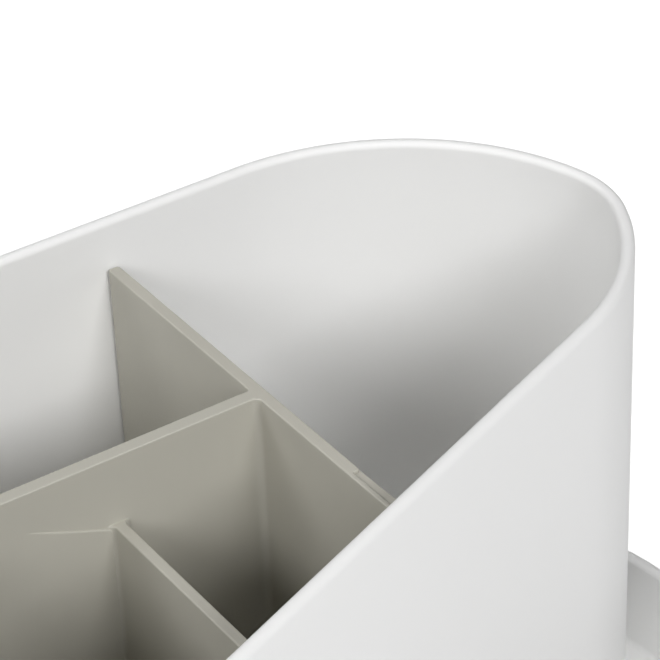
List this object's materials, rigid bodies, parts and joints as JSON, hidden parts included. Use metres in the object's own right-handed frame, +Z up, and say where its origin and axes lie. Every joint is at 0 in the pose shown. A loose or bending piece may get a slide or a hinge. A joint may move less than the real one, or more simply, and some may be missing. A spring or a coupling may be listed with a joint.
{
  "type": "cosmetic organizer",
  "caption": "Countertop cosmetic organizer: a tall rounded tub with a lift-out divider frame stands in a low tray over two drawers.",
  "frame": {"origin": "centre of the base's outline, on the surface that the feet stand on", "axes": "+X to the right along the front, +Y to the back, +Z up; the drawers open towards -Y"},
  "size_m": [0.3, 0.134, 0.15],
  "materials": {
    "white_plastic": "satin white moulded ABS",
    "greige_plastic": "fine matte warm grey moulded plastic",
    "liner_felt": "short grey-brown felt",
    "foot_rubber": "matte pale grey rubber",
    "zinc_steel": "zinc-plated steel"
  },
  "bodies": {
    "base": {"base_housing": "white_plastic", "low_tray": "white_plastic", "tub": "white_plastic", "base_screws": "zinc_steel", "tub_screws": "zinc_steel", "foot_front_left": "foot_rubber", "foot_front_right": "foot_rubber", "foot_back_left": "foot_rubber", "foot_back_right": "foot_rubber", "drawer_bumpers_left": "foot_rubber", "drawer_bumpers_right": "foot_rubber"},
    "drawer_left": {"drawer_box_left": "greige_plastic", "drawer_front_left": "white_plastic", "drawer_liner_left": "liner_felt", "drawer_partition_left": "greige_plastic"},
    "drawer_right": {"drawer_box_right": "greige_plastic", "drawer_front_right": "white_plastic", "drawer_liner_right": "liner_felt", "drawer_partition_right": "greige_plastic"},
    "dividers": {"divider_frame": "greige_plastic"}
  },
  "joints": [
    {"name": "drawer_left_slide", "type": "slide", "parent": "base", "child": "drawer_left", "axis": [0, -1, 0], "range_m": [0, 0.09]},
    {"name": "drawer_right_slide", "type": "slide", "parent": "base", "child": "drawer_right", "axis": [0, -1, 0], "range_m": [0, 0.09]},
    {"name": "divider_lift", "type": "slide", "parent": "base", "child": "dividers", "axis": [0, 0, 1], "range_m": [0, 0.095]}
  ]
}
